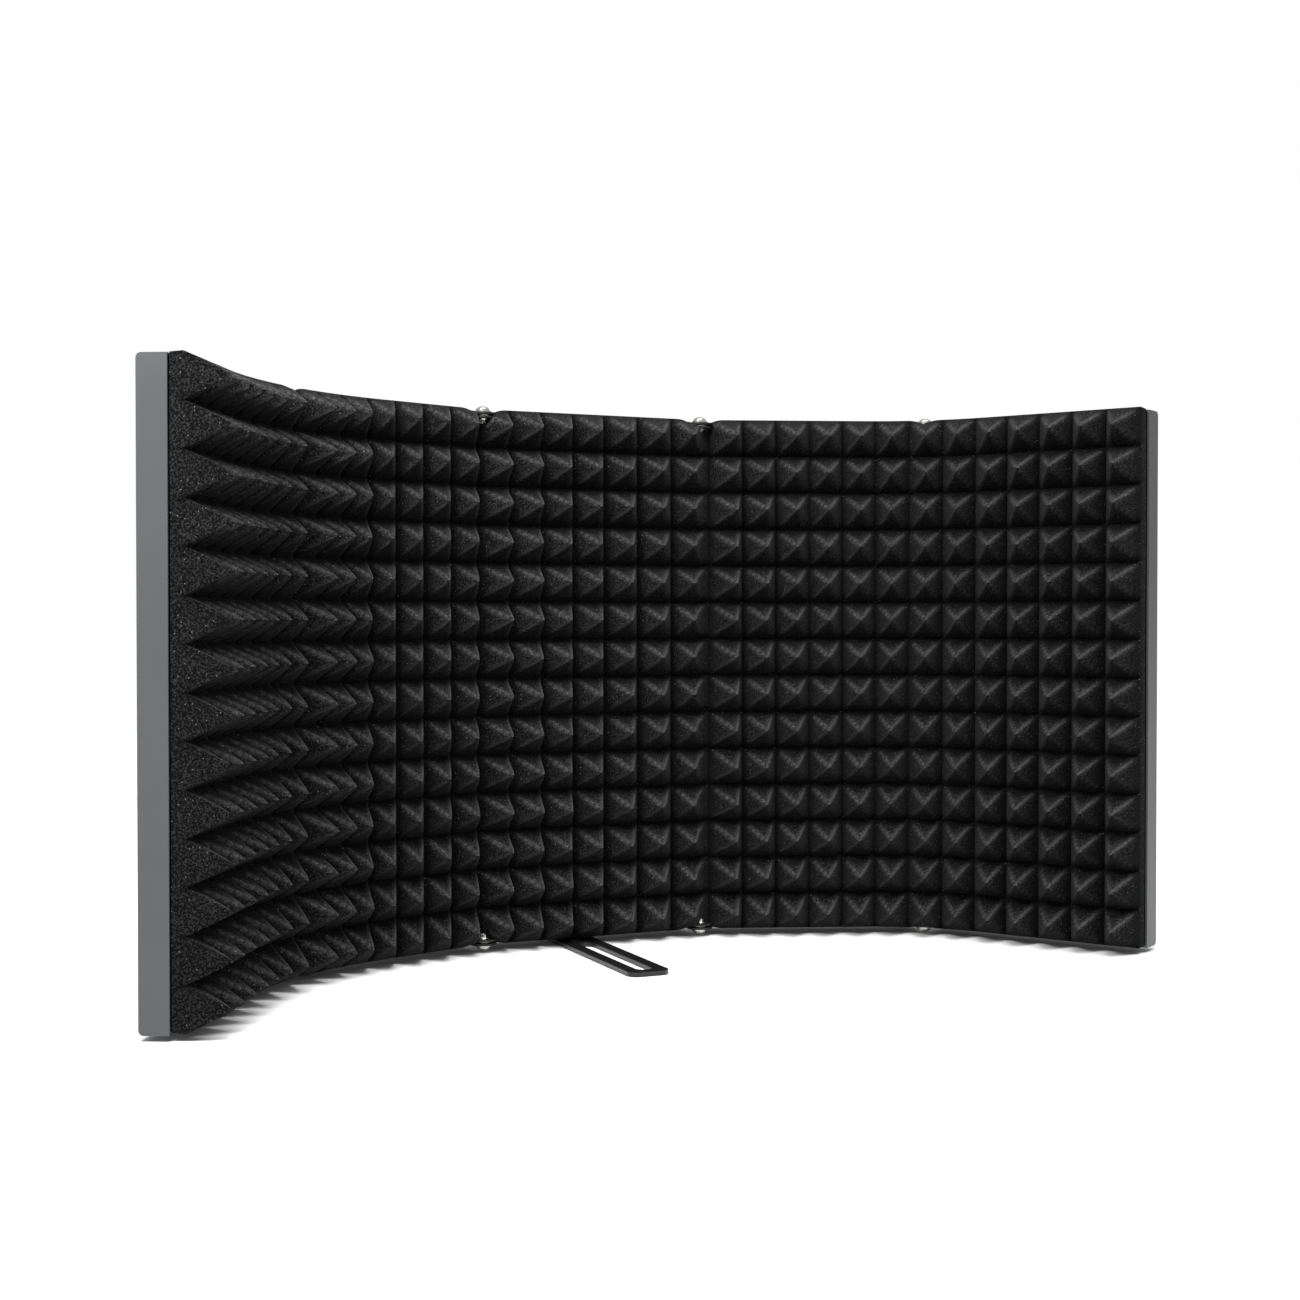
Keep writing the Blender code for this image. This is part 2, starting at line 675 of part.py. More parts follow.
def panel_frames():
    """Empties of the five panels, keyed by panel number."""
    half = HINGE_PITCH / 2.0
    frames = {MIDDLE_PANEL: make_frame("frame_3", (0.0, 0.0, 0.0), 0.0)}
    spot = Vector((half, 0.0, 0.0))
    turn = 0.0
    for panel in range(MIDDLE_PANEL + 1, PANEL_COUNT + 1):
        turn -= math.radians(REST_TURNS[panel - 2])
        frames[panel] = make_frame(f"frame_{panel}", spot.copy(), turn)
        spot += HINGE_PITCH * Vector((math.cos(turn), math.sin(turn), 0.0))
    spot = Vector((-half, 0.0, 0.0))
    turn = 0.0
    for panel in range(MIDDLE_PANEL - 1, 0, -1):
        turn += math.radians(REST_TURNS[panel - 1])
        frames[panel] = make_frame(f"frame_{panel}", spot.copy(), turn)
        spot -= HINGE_PITCH * Vector((math.cos(turn), math.sin(turn), 0.0))
    return frames


def centre_on_origin(frames):
    """Move every frame so that the origin lies under the middle of the overall box."""
    bpy.context.view_layer.update()
    graph = bpy.context.evaluated_depsgraph_get()
    corners = []
    for part in bpy.data.objects:
        if part.type != "MESH" or part.hide_render:
            continue
        shown = part.evaluated_get(graph)
        corners += [shown.matrix_world @ vert.co for vert in shown.data.vertices]
    middle_x = (min(spot.x for spot in corners) + max(spot.x for spot in corners)) / 2.0
    middle_y = (min(spot.y for spot in corners) + max(spot.y for spot in corners)) / 2.0
    for frame in frames.values():
        frame.location -= Vector((middle_x, middle_y, 0.0))
    bpy.context.view_layer.update()


def main():
    """Build the whole shield."""
    clear_scene()
    materials = {
        "pan": make_material("powder_coated_steel", (0.045, 0.047, 0.05), 0.42, 0.0),
        "foam": make_material("open_cell_foam", (0.018, 0.018, 0.019), 0.95, 0.0),
        "lug": make_material("black_oxide_steel", (0.012, 0.012, 0.013), 0.5, 0.6),
        "screw": make_material("nickel_plated_steel", (0.72, 0.72, 0.7), 0.18, 1.0),
        "bar": make_material("satin_black_steel", (0.01, 0.01, 0.011), 0.35, 0.0),
    }
    frames = panel_frames()
    for panel in range(1, PANEL_COUNT + 1):
        make_pan(panel, frames[panel], materials["pan"])
        make_foam(panel, frames[panel], materials["foam"])
    for seam in range(1, PANEL_COUNT):
        left_x = panel_span(seam)[1]
        right_x = panel_span(seam + 1)[0]
        for at_top in (True, False):
            make_lug(seam, True, at_top, frames[seam], left_x, materials["lug"])
            make_lug(seam, False, at_top, frames[seam + 1], right_x, materials["lug"])
            make_pivot(seam, at_top, frames[seam + 1], right_x, materials)
    make_bar(frames[MIDDLE_PANEL], materials["bar"])
    for index, height in enumerate(BAR_SCREW_HEIGHTS, start=1):
        make_bar_screw(index, height, frames[MIDDLE_PANEL], materials["bar"])
    centre_on_origin(frames)


main()
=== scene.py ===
"""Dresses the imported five-panel microphone isolation shield and lights it in a plain studio."""

import json
import logging
import math
from dataclasses import dataclass
from enum import Enum
from typing import Any, Callable

import bmesh
import bpy
from mathutils import Euler, Matrix, Vector, noise

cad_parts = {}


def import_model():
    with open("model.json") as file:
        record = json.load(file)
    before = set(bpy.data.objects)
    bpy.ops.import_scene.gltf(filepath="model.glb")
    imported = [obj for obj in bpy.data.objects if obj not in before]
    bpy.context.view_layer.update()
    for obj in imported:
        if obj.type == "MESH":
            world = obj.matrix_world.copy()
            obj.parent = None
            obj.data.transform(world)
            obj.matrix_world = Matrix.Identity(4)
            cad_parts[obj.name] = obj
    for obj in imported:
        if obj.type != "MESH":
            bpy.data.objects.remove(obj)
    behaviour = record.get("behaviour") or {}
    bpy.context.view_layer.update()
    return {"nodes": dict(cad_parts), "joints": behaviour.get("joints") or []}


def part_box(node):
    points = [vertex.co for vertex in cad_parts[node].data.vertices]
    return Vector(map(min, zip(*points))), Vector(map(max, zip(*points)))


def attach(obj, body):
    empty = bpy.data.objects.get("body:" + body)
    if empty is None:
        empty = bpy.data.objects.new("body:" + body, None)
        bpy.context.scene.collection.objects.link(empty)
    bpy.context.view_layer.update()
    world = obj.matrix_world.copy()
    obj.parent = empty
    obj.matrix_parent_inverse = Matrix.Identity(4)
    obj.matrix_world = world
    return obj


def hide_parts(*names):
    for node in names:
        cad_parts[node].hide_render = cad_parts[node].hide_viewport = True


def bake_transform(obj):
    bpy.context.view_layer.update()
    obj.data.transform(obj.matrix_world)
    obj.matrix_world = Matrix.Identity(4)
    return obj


LOG = logging.getLogger("shield")
MM = 0.001
SHARP = math.radians(40.0)
MERGE = 0.002 * MM
# A place this close below a column's or a row's edge, in columns or rows, counts as past it.
EDGE_SLACK = 1e-6
# Sockets of the Mix node: its factor, and both sides and the result for colours and for numbers.
MIX_FACTOR = 0
COLOUR_A, COLOUR_B, COLOUR_OUT = 6, 7, 2
NUMBER_A, NUMBER_B, NUMBER_OUT = 2, 3, 0

Settings = dict[str, Any]
Links = dict[str, Any]


def srgb(code: str) -> tuple[float, float, float, float]:
    """Turn an sRGB hex colour into a linear one.

    Args:
        code: Six hex digits with a leading hash.

    Returns:
        Linear red, green, blue and an alpha of one.
    """
    parts = []
    for start in (1, 3, 5):
        value = int(code[start : start + 2], 16) / 255.0
        parts.append(value / 12.92 if value <= 0.04045 else ((value + 0.055) / 1.055) ** 2.4)
    return (parts[0], parts[1], parts[2], 1.0)


def add_node(
    tree: bpy.types.NodeTree, kind: str, settings: Settings, links: Links
) -> bpy.types.Node:
    """Add one shader node.

    Args:
        tree: The node tree to add to.
        kind: Blender's type name of the node.
        settings: Node properties, and socket values under "in:" and the socket's name.
        links: Input socket name to the output socket that feeds it.

    Returns:
        The new node.
    """
    node = tree.nodes.new(kind)
    for name, value in settings.items():
        if name.startswith("in:"):
            node.inputs[name[3:]].default_value = value
        else:
            setattr(node, name, value)
    for name, source in links.items():
        tree.links.new(source, node.inputs[name])
    return node


def ramp(tree: bpy.types.NodeTree, source: Any, stops: list[tuple[float, str]]) -> Any:
    """Add a colour ramp.

    Args:
        tree: The node tree to add to.
        source: The output socket that drives the ramp.
        stops: Position and hex colour of each stop, from low to high.

    Returns:
        The ramp's colour output.
    """
    node = add_node(tree, "ShaderNodeValToRGB", {}, {"Fac": source})
    elements = node.color_ramp.elements
    while len(elements) < len(stops):
        elements.new(0.5)
    for element, (position, code) in zip(elements, stops):
        element.position = position
        element.color = srgb(code)
    return node.outputs["Color"]


def fresh_material(name: str) -> tuple[bpy.types.Material, bpy.types.NodeTree, bpy.types.Node]:
    """Make an empty Principled material.

    Args:
        name: The material's name.

    Returns:
        The material, its tree and its shader node.
    """
    made = bpy.data.materials.new(name)
    made.use_nodes = True
    return made, made.node_tree, made.node_tree.nodes["Principled BSDF"]


def object_space(tree: bpy.types.NodeTree) -> Any:
    """Add the piece's own coordinates, in metres."""
    return add_node(tree, "ShaderNodeTexCoord", {}, {}).outputs["Object"]


def clouds(tree: bpy.types.NodeTree, spot: Any, scale: float, detail: float = 2.0) -> Any:
    """Add a noise texture.

    Args:
        tree: The node tree to add to.
        spot: The output socket that gives the coordinates.
        scale: How many features there are to a metre.
        detail: Number of finer layers.

    Returns:
        The texture's value output.
    """
    settings = {"in:Scale": scale, "in:Detail": detail}
    return add_node(tree, "ShaderNodeTexNoise", settings, {"Vector": spot}).outputs["Fac"]


def multiply(tree: bpy.types.NodeTree, first: Any, second: Any) -> Any:
    """Multiply two values.

    Args:
        tree: The node tree to add to.
        first: The output socket of one value.
        second: The output socket of the other.

    Returns:
        The product's output.
    """
    node = add_node(tree, "ShaderNodeMath", {"operation": "MULTIPLY"}, {})
    tree.links.new(first, node.inputs[0])
    tree.links.new(second, node.inputs[1])
    return node.outputs["Value"]


def tint(tree: bpy.types.NodeTree, base: Any, tone: Any) -> Any:
    """Multiply one colour by another.

    Args:
        tree: The node tree to add to.
        base: The output socket of the colour.
        tone: The output socket of the colour that darkens it.

    Returns:
        The darkened colour's output.
    """
    node = add_node(tree, "ShaderNodeMix", {"data_type": "RGBA", "blend_type": "MULTIPLY"}, {})
    node.inputs[MIX_FACTOR].default_value = 1.0
    tree.links.new(base, node.inputs[COLOUR_A])
    tree.links.new(tone, node.inputs[COLOUR_B])
    return node.outputs[COLOUR_OUT]


def lay_over(tree: bpy.types.NodeTree, base: Any, code: str, share: Any) -> Any:
    """Lay a flat colour over another by a varying share.

    Args:
        tree: The node tree to add to.
        base: The output socket of the colour underneath.
        code: Hex colour on top.
        share: The output socket that says how much of the top colour shows.

    Returns:
        The mixed colour's output.
    """
    node = add_node(tree, "ShaderNodeMix", {"data_type": "RGBA"}, {})
    tree.links.new(share, node.inputs[MIX_FACTOR])
    tree.links.new(base, node.inputs[COLOUR_A])
    node.inputs[COLOUR_B].default_value = srgb(code)
    return node.outputs[COLOUR_OUT]


def add_bump(
    tree: bpy.types.NodeTree, shader: bpy.types.Node, height: Any, strength: float, distance: float
) -> None:
    """Roughen a shader's surface.

    Args:
        tree: The node tree to add to.
        shader: The shader to roughen.
        height: The output socket that gives the relief.
        strength: How much of the relief is used.
        distance: Depth of the relief in metres.
    """
    settings = {"in:Strength": strength, "in:Distance": distance}
    bump = add_node(tree, "ShaderNodeBump", settings, {"Height": height})
    tree.links.new(bump.outputs["Normal"], shader.inputs["Normal"])


def vary_roughness(
    tree: bpy.types.NodeTree, shader: bpy.types.Node, source: Any, low: float, high: float
) -> None:
    """Let a shader's roughness follow a texture.

    Args:
        tree: The node tree to add to.
        shader: The shader to change.
        source: The output socket that drives the roughness.
        low: Roughness where the texture is zero.
        high: Roughness where the texture is one.
    """
    settings = {"in:To Min": low, "in:To Max": high}
    gloss = add_node(tree, "ShaderNodeMapRange", settings, {"Value": source})
    tree.links.new(gloss.outputs["Result"], shader.inputs["Roughness"])


@dataclass(frozen=True)
class PowderCoat:
    """Satin powder coat on sheet steel: a fine even orange peel that breaks up reflections."""

    name: str = "powder_coated_steel"
    light: str = "#5d5e60"
    dark: str = "#545557"
    patches: float = 9.0
    peel: float = 0.9 * MM
    peel_strength: float = 0.12
    peel_depth: float = 0.08 * MM
    roughness: float = 0.42
    uneven: float = 0.06
    refraction: float = 1.5

    def make(self) -> bpy.types.Material:
        """Build the material.

        Returns:
            The powder coat.
        """
        made, tree, shader = fresh_material(self.name)
        spot = object_space(tree)
        patches = clouds(tree, spot, self.patches, 3.0)
        # Powder grains of about 0.1 mm are too fine to show, so the peel is drawn at 0.9 mm.
        peel = clouds(tree, spot, 1.0 / self.peel)
        colour = ramp(tree, patches, [(0.3, self.dark), (0.7, self.light)])
        tree.links.new(colour, shader.inputs["Base Color"])
        low, high = self.roughness - self.uneven, self.roughness + self.uneven
        vary_roughness(tree, shader, peel, low, high)
        add_bump(tree, shader, peel, self.peel_strength, self.peel_depth)
        shader.inputs["IOR"].default_value = self.refraction
        return made


@dataclass(frozen=True)
class OpenCellFoam:
    """Charcoal polyurethane foam, cut by wire: matt and grainy, with painted highlights on a few
    cell walls.
    """

    name: str = "open_cell_foam"
    base: str = "#161617"
    lit: str = "#333334"
    pit: str = "#070707"
    # Colour of the painted highlights on a few cell walls.
    painted_highlight: str = "#808081"
    # Colour of the worn ridges, partly a painted highlight for the light they catch.
    wear_and_highlight_colour: str = "#5a5a5b"
    cell: float = 1.0 * MM
    cell_strength: float = 0.75
    cell_depth: float = 0.55 * MM
    patches: float = 22.0
    speck: float = 1.5 * MM
    speck_core: float = 0.1
    speck_rim: float = 0.24
    dull_share: float = 0.88
    roughness: float = 0.96
    specular: float = 0.06
    sheen: float = 0.03
    sheen_roughness: float = 0.6

    def make(self) -> bpy.types.Material:
        """Build the material.

        Returns:
            The foam, its fuzzy ridges lightened by painted highlight and its valleys darkened by
            painted shade, following the "crest" and "depth" attributes of its mesh.
        """
        made, tree, shader = fresh_material(self.name)
        spot = object_space(tree)
        # Cells of about 0.5 mm are drawn at 1.0 mm so that the grain still shows.
        cells = clouds(tree, spot, 1.0 / self.cell, 3.0)
        drift = clouds(tree, spot, self.patches)
        grain = ramp(tree, cells, [(0.41, self.pit), (0.5, self.base), (0.6, self.lit)])
        tone = ramp(tree, drift, [(0.3, "#d8d8d8"), (0.7, "#ffffff")])
        shaded = tint(tree, grain, tone)
        # Cut edges are fuzzy and lightened by a painted highlight for the light they catch, and
        # painted shade darkens the valleys.
        crest = add_node(tree, "ShaderNodeAttribute", {"attribute_name": "crest"}, {})
        depth = add_node(tree, "ShaderNodeAttribute", {"attribute_name": "depth"}, {})
        ridge_wear_and_highlight = multiply(tree, crest.outputs["Fac"], cells)
        ridge_worn_and_highlit = lay_over(tree, shaded, self.wear_and_highlight_colour, ridge_wear_and_highlight)
        # Painted shade: the lower a point stands over the valleys, the darker it is drawn.
        stops = [(0.0, "#6c6c6c"), (0.16, "#c4c4c4"), (0.5, "#ffffff")]
        shade_painted_in_valleys = tint(tree, ridge_worn_and_highlit, ramp(tree, depth.outputs["Fac"], stops))
        # A few cell walls get a painted highlight, for light that glints off them.
        mixed = lay_over(tree, shade_painted_in_valleys, self.painted_highlight, self.painted_highlight_spots(tree, spot))
        tree.links.new(mixed, shader.inputs["Base Color"])
        add_bump(tree, shader, cells, self.cell_strength, self.cell_depth)
        shader.inputs["Roughness"].default_value = self.roughness
        shader.inputs["Specular IOR Level"].default_value = self.specular
        shader.inputs["Sheen Weight"].default_value = self.sheen
        shader.inputs["Sheen Roughness"].default_value = self.sheen_roughness
        return made

    def painted_highlight_spots(self, tree: bpy.types.NodeTree, spot: Any) -> Any:
        """Scatter painted highlights over a few cell walls.

        Args:
            tree: The node tree to add to.
            spot: The output socket that gives the coordinates.

        Returns:
            The output that is one on a painted highlight and zero elsewhere.
        """
        scale = {"in:Scale": 1.0 / self.speck}
        dots = add_node(tree, "ShaderNodeTexVoronoi", scale, {"Vector": spot})
        fall = {"in:From Min": self.speck_core, "in:From Max": self.speck_rim}
        fall |= {"in:To Min": 1.0, "in:To Max": 0.0}
        near = add_node(tree, "ShaderNodeMapRange", fall, {"Value": dots.outputs["Distance"]})
        chosen = add_node(tree, "ShaderNodeSeparateColor", {}, {"Color": dots.outputs["Color"]})
        test = {"operation": "GREATER_THAN"}
        rare = add_node(tree, "ShaderNodeMath", test, {"Value": chosen.outputs["Red"]})
        rare.inputs[1].default_value = self.dull_share
        return multiply(tree, near.outputs["Result"], rare.outputs["Value"])


@dataclass(frozen=True)
class PlatedMetal:
    """Plated or blackened steel fastener metal, with faint turning marks and handling haze."""

    name: str
    light: str
    dark: str
    metallic: float
    roughness: float
    mark: float = 0.35 * MM
    squeeze: float = 6.0
    mark_strength: float = 0.08
    mark_depth: float = 0.05 * MM
    polished: float = 0.07
    hazed: float = 0.09

    def make(self) -> bpy.types.Material:
        """Build the material.

        Returns:
            The metal.
        """
        made, tree, shader = fresh_material(self.name)
        # The marks run round the upright axis, so the pattern is squeezed along Z.
        squeezed = {"in:Scale": (1.0, 1.0, self.squeeze)}
        turned = add_node(tree, "ShaderNodeMapping", squeezed, {"Vector": object_space(tree)})
        marks = clouds(tree, turned.outputs["Vector"], 1.0 / (self.squeeze * self.mark), 4.0)
        colour = ramp(tree, marks, [(0.3, self.dark), (0.7, self.light)])
        tree.links.new(colour, shader.inputs["Base Color"])
        low, high = self.roughness - self.polished, self.roughness + self.hazed
        vary_roughness(tree, shader, marks, low, high)
        add_bump(tree, shader, marks, self.mark_strength, self.mark_depth)
        shader.inputs["Metallic"].default_value = self.metallic
        return made


@dataclass(frozen=True)
class StudioPaper:
    """Seamless white studio paper: matt, with a barely visible mottle."""

    name: str = "studio_paper"
    white: str = "#fbfbfb"
    shade: str = "#f6f6f6"
    mottle: float = 3.0
    roughness: float = 0.9

    def make(self) -> bpy.types.Material:
        """Build the material.

        Returns:
            The paper.
        """
        made, tree, shader = fresh_material(self.name)
        mottle = clouds(tree, object_space(tree), self.mottle)
        colour = ramp(tree, mottle, [(0.3, self.shade), (0.7, self.white)])
        tree.links.new(colour, shader.inputs["Base Color"])
        shader.inputs["Roughness"].default_value = self.roughness
        return made


NICKEL = PlatedMetal("bright_nickel_plate", "#e2e0da", "#c6c4be", 1.0, 0.27)
BLACK_OXIDE = PlatedMetal("black_oxide_steel", "#2a2a2b", "#1b1b1c", 0.4, 0.45)
SATIN_BLACK = PlatedMetal("satin_black_bar", "#171718", "#101011", 0.0, 0.34, 0.8 * MM)


def finish_mesh(
    shape: bmesh.types.BMesh, name: str, material: bpy.types.Material
) -> bpy.types.Object:
    """Turn a bmesh into a smooth object at the origin.

    Args:
        shape: The finished shape, freed here.
        name: The piece's name.
        material: The finish.

    Returns:
        The new object, linked into the scene.
    """
    bmesh.ops.remove_doubles(shape, verts=shape.verts, dist=MERGE)
    bmesh.ops.recalc_face_normals(shape, faces=shape.faces)
    for edge in shape.edges:
        edge.smooth = edge.calc_face_angle(0.0) < SHARP
    mesh = bpy.data.meshes.new(name)
    shape.to_mesh(mesh)
    shape.free()
    mesh.materials.append(material)
    made = bpy.data.objects.new(name, mesh)
    bpy.context.scene.collection.objects.link(made)
    return made


def turn_profile(
    profile: list[tuple[float, float]], centre: Vector, steps: int = 40
) -> bmesh.types.BMesh:
    """Spin an outline of (radius, height) points about an upright axis.

    Args:
        profile: Open or closed outline in the XZ plane of the axis.
        centre: A point on the axis.
        steps: Number of spin steps.

    Returns:
        The turned shape.
    """
    shape = bmesh.new()
    ring = [shape.verts.new((centre.x + radius, centre.y, height)) for radius, height in profile]
    edges = [shape.edges.new(pair) for pair in zip(ring, ring[1:])]
    bmesh.ops.spin(
        shape,
        geom=ring + edges,
        cent=centre,
        axis=(0.0, 0.0, 1.0),
        angle=2.0 * math.pi,
        steps=steps,
        use_merge=True,
    )
    bmesh.ops.remove_doubles(shape, verts=shape.verts, dist=MERGE)
    return shape


class End(Enum):
    """The two ends of every pivot line."""

    TOP = "top"
    BOTTOM = "bottom"


@dataclass(frozen=True)
class Plan:
    """Plan view of the shield: pivots and panel headings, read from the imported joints."""

    pivots: dict[int, Vector]
    headings: dict[int, float]

    @staticmethod
    def read(joints: list[dict[str, Any]]) -> "Plan":
        """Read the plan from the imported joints.

        Args:
            joints: The frame's joints, named fold_1 to fold_4.

        Returns:
            The plan.
        """
        pivots = {}
        turns = {}
        for joint in joints:
            number = int(joint["name"].split("_")[1])
            pivots[number] = Vector((joint["pos_m"][0], joint["pos_m"][1]))
            turns[number] = math.radians(-joint["range_deg"][0])
        headings = {}
        for panel in (2, 3, 4):
            run = pivots[panel] - pivots[panel - 1]
            headings[panel] = math.atan2(run.y, run.x)
        headings[1] = headings[2] + turns[1]
        headings[5] = headings[4] - turns[4]
        return Plan(pivots, headings)

    def along(self, panel: int) -> Vector:
        """Unit vector along a panel, from left to right."""
        return Vector((math.cos(self.headings[panel]), math.sin(self.headings[panel])))

    def outward(self, panel: int) -> Vector:
        """Unit vector out of a panel's foam face."""
        return Vector((math.sin(self.headings[panel]), -math.cos(self.headings[panel])))


@dataclass
class BendPath:
    """A plan line of two straight runs joined by a round bend."""

    start: Vector
    corner: Vector
    stop: Vector
    radius: float

    def __post_init__(self) -> None:
        """Work out the bend."""
        self.first = (self.corner - self.start).normalized()
        self.second = (self.stop - self.corner).normalized()
        self.turn = math.atan2(self.first.cross(self.second), self.first.dot(self.second))
        self.tangent = self.radius * math.tan(abs(self.turn) / 2.0)
        self.run = (self.corner - self.start).length - self.tangent
        self.arc = self.radius * abs(self.turn)
        self.length = self.run + self.arc + (self.stop - self.corner).length - self.tangent

    def at(self, distance: float) -> tuple[Vector, Vector]:
        """Find a place on the rounded path.

        Args:
            distance: Distance along the path from its start.

        Returns:
            The point and the unit direction there.
        """
        if distance <= self.run:
            return self.start + self.first * distance, self.first
        if distance >= self.run + self.arc:
            rest = distance - self.run - self.arc + self.tangent
            return self.corner + self.second * rest, self.second
        sense = 1.0 if self.turn > 0 else -1.0
        angle = (distance - self.run) / self.radius * sense
        side = Vector((-self.first.y, self.first.x)) * sense
        centre = self.start + self.first * self.run + side * self.radius
        spun = Matrix.Rotation(angle, 2)
        return centre - (spun @ side) * self.radius, spun @ self.first

    def sharp(self, distance: float) -> tuple[Vector, Vector]:
        """Find the same place on the path with its corner left sharp.

        Args:
            distance: Distance along the rounded path from its start.

        Returns:
            The point and the unit direction there.
        """
        middle = self.run + self.arc / 2.0
        if distance <= middle:
            share = distance / middle
            return self.start.lerp(self.corner, share), self.first
        share = (distance - middle) / (self.length - middle)
        return self.corner.lerp(self.stop, share), self.second


@dataclass(frozen=True)
class FoamPiece:
    """One stretch of a foam sheet: which columns it holds and which joint it bends across."""

    name: str
    first: float
    last: float
    bodies: tuple[str, str]
    joint: int
    replaces: tuple[str, ...]


@dataclass
class FoamSheet:
    """A sheet of pyramid foam laid along a plan path, one cut piece per bending joint.

    Distances are metres, leans are millimetres to the right, and a dip is its half width and depth.
    """

    path: BendPath
    edges: list[float]
    leans: tuple[float, ...]
    pieces: list[FoamPiece]
    plan: Plan
    low: float
    high: float
    rows: int = 14
    steps: int = 12
    valley: float = -1.2 * MM
    height: float = 22.6 * MM
    back: float = -10.4 * MM
    blend_reach: float = 18.0 * MM
    seed: float = 0.0
    path_fold: int = 0
    end_press: float = 0.0
    press_reach: float = 110.0 * MM
    start_slant: float = 0.0
    slant_reach: float = 20.0 * MM
    ridge_power: float = 9.0
    tip_round: float = 0.0035
    tip_loss: float = 0.059
    peak_noise: tuple[float, float, float] = (3.1, 2.7, 0.5)
    uneven_peaks: float = 0.02
    sway_noise: tuple[float, float] = (2.3, 1.9)
    wander: float = 0.7 * MM
    sway_power: float = 1.2
    ridge_width: float = 4.0
    ridge_rise: float = 4.0
    cut_slack: float = 1e-4
    dent_reach: float = 40.0 * MM
    wedge_half: float = 18.0 * MM
    wedge_fade: float = 6.0 * MM
    seam_wedge: float = 10.9 * MM
    bridge_wedge: float = 34.0 * MM
    seam_dip: tuple[float, float] = (15.0 * MM, 12.5 * MM)
    bridge_dip: tuple[float, float] = (11.0 * MM, 3.6 * MM)
    back_inset: float = 0.5 * MM
    back_tone: float = 0.6
    grain_scale: float = 400.0
    grain_height: float = 0.12 * MM

    def distance(self, column: float) -> float:
        """Turn a place counted in columns into a distance along the path.

        Args:
            column: Place along the sheet, counted in columns.

        Returns:
            The distance from the path's start.
        """
        index = min(math.floor(column + EDGE_SLACK), len(self.edges) - 2)
        start, stop = self.edges[index], self.edges[index + 1]
        return start + (column - index) * (stop - start)

    def relief(self, place: float, level: float) -> tuple[float, float, float]:
        """Shape of the foam face at one point.

        Args:
            place: Place along the sheet, counted in columns.
            level: Height above the floor.

        Returns:
            Height over the valleys, sideways lean, and how near the point is to a ridge.
        """
        column = min(math.floor(place + EDGE_SLACK), len(self.leans) - 1)
        across = 2.0 * (place - column) - 1.0
        span = (self.high - self.low) / self.rows
        row = min(math.floor((level - self.low) / span + EDGE_SLACK), self.rows - 1)
        up = 2.0 * ((level - self.low) / span - row) - 1.0
        power = self.ridge_power
        reach = (abs(across) ** power + abs(up) ** power) ** (1.0 / power)
        reach = math.sqrt(reach * reach + self.tip_round)
        stride, climb, layer = self.peak_noise
        jitter = noise.noise(Vector((column * stride + self.seed, row * climb, layer)))
        peak = self.height * (1.0 + self.uneven_peaks * jitter)
        rise = peak * max(0.0, 1.0 - reach) / (1.0 - self.tip_loss)
        share = rise / self.height
        stride, climb = self.sway_noise
        sway = self.leans[column] * MM
        sway += self.wander * noise.noise(Vector((column * stride, row * climb, self.seed)))
        offside = abs(abs(across) - abs(up)) * self.steps / self.ridge_width
        crest = max(0.0, 1.0 - offside) * min(1.0, share * self.ridge_rise)
        # A face cut through the pyramids has no ridges on it.
        cut = place - self.pieces[0].first < self.cut_slack
        return rise, sway * share**self.sway_power, 0.0 if cut else crest * crest

    def notch(self, spot: Vector, level: float, behind: bool) -> float:
        """Height of a point after the dents round the pivots are pressed in.

        Args:
            spot: The point in plan.
            level: Its height.
            behind: Whether the point lies on the back of the sheet.

        Returns:
            The new height.
        """
        for number, pivot in self.plan.pivots.items():
            away = spot - pivot
            if away.length > self.dent_reach:
                continue
            middle = (self.plan.outward(number) + self.plan.outward(number + 1)).normalized()
            ahead = away.dot(middle)
            side = abs(away.x * middle.y - away.y * middle.x)
            bridged = number == self.path_fold
            if behind:
                # Where the sheet bridges its fold, the wedge behind it is deeper.
                most = self.bridge_wedge if bridged else self.seam_wedge
                depth = most * min(1.0, max(0.0, (self.wedge_half - side) / self.wedge_fade))
            else:
                # The corners beside a seam are rounded off, and a bridged fold only dips.
                reach, most = self.bridge_dip if bridged and ahead > 0.0 else self.seam_dip
                share = min(1.0, max(0.0, (reach - side) / reach))
                depth = most * (1.0 - math.sqrt(1.0 - share * share))
            level = min(max(level, self.low + depth), self.high - depth)
        return level

    def place(self, vert: bmesh.types.BMVert, crests: Any, depths: Any) -> None:
        """Move one grid vertex from sheet space into the shield's frame.

        Args:
            vert: The vertex, with its place in columns, its layer and its level.
            crests: Layer that holds how near a vertex is to a ridge.
            depths: Layer that holds how high a vertex stands over the valleys.
        """
        column, layer, level = vert.co
        distance = self.distance(column)
        if layer > 0.5:
            spot, heading = self.path.sharp(distance)
            outward = Vector((heading.y, -heading.x))
            # The cut end can be slanted at the back, so that it lies along the next sheet's end.
            slant = self.start_slant * max(0.0, 1.0 - distance / self.slant_reach)
            spot = spot + outward * self.back + heading * slant
            level = min(max(level, self.low + self.back_inset), self.high - self.back_inset)
            vert[depths] = self.back_tone
        else:
            spot, heading = self.path.at(distance)
            outward = Vector((heading.y, -heading.x))
            rise, sway, vert[crests] = self.relief(column, level)
            vert[depths] = rise / self.height
            press = self.end_press * max(0.0, 1.0 - distance / self.press_reach)
            spot = spot + outward * (self.valley + rise - press) + heading * sway
            grain = noise.noise(Vector((distance, level, self.seed)) * self.grain_scale)
            spot = spot + outward * (self.grain_height * grain)
        level = self.notch(spot, level, layer > 0.5)
        vert.co = (spot.x, spot.y, level)

    def build(self, finish: bpy.types.Material) -> list[bpy.types.Object]:
        """Build every piece of the sheet.

        Args:
            finish: The foam material.

        Returns:
            The pieces.
        """
        return [self.build_piece(piece, finish) for piece in self.pieces]

